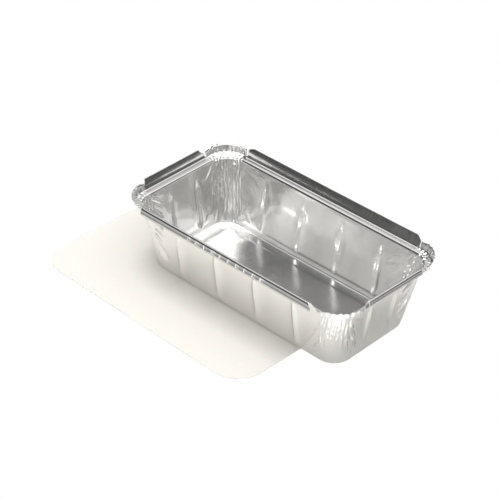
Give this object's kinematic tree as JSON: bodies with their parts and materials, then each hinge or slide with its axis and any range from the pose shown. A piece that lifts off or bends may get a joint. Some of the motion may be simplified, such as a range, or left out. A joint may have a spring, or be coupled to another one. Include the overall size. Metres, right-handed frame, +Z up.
{
  "type": "foil food container with board lid",
  "caption": "Rectangular pressed foil food tray with ribbed walls, flat ledge and upright flange for closing, on its loose flat board lid.",
  "frame": {"origin": "on the surface that the set stands on, straight below the middle of the tray", "axes": "+X along the tray's long sides, +Y across it towards its far long side, +Z up"},
  "size_m": [0.2493, 0.1536, 0.0585],
  "materials": {
    "foil": "bright pressed aluminium foil, smooth on the flats, finely creased at the corners",
    "board": "smooth warm white board, matt"
  },
  "bodies": {
    "root": {"foil_tray": "foil", "card_lid": "board"}
  },
  "joints": []
}
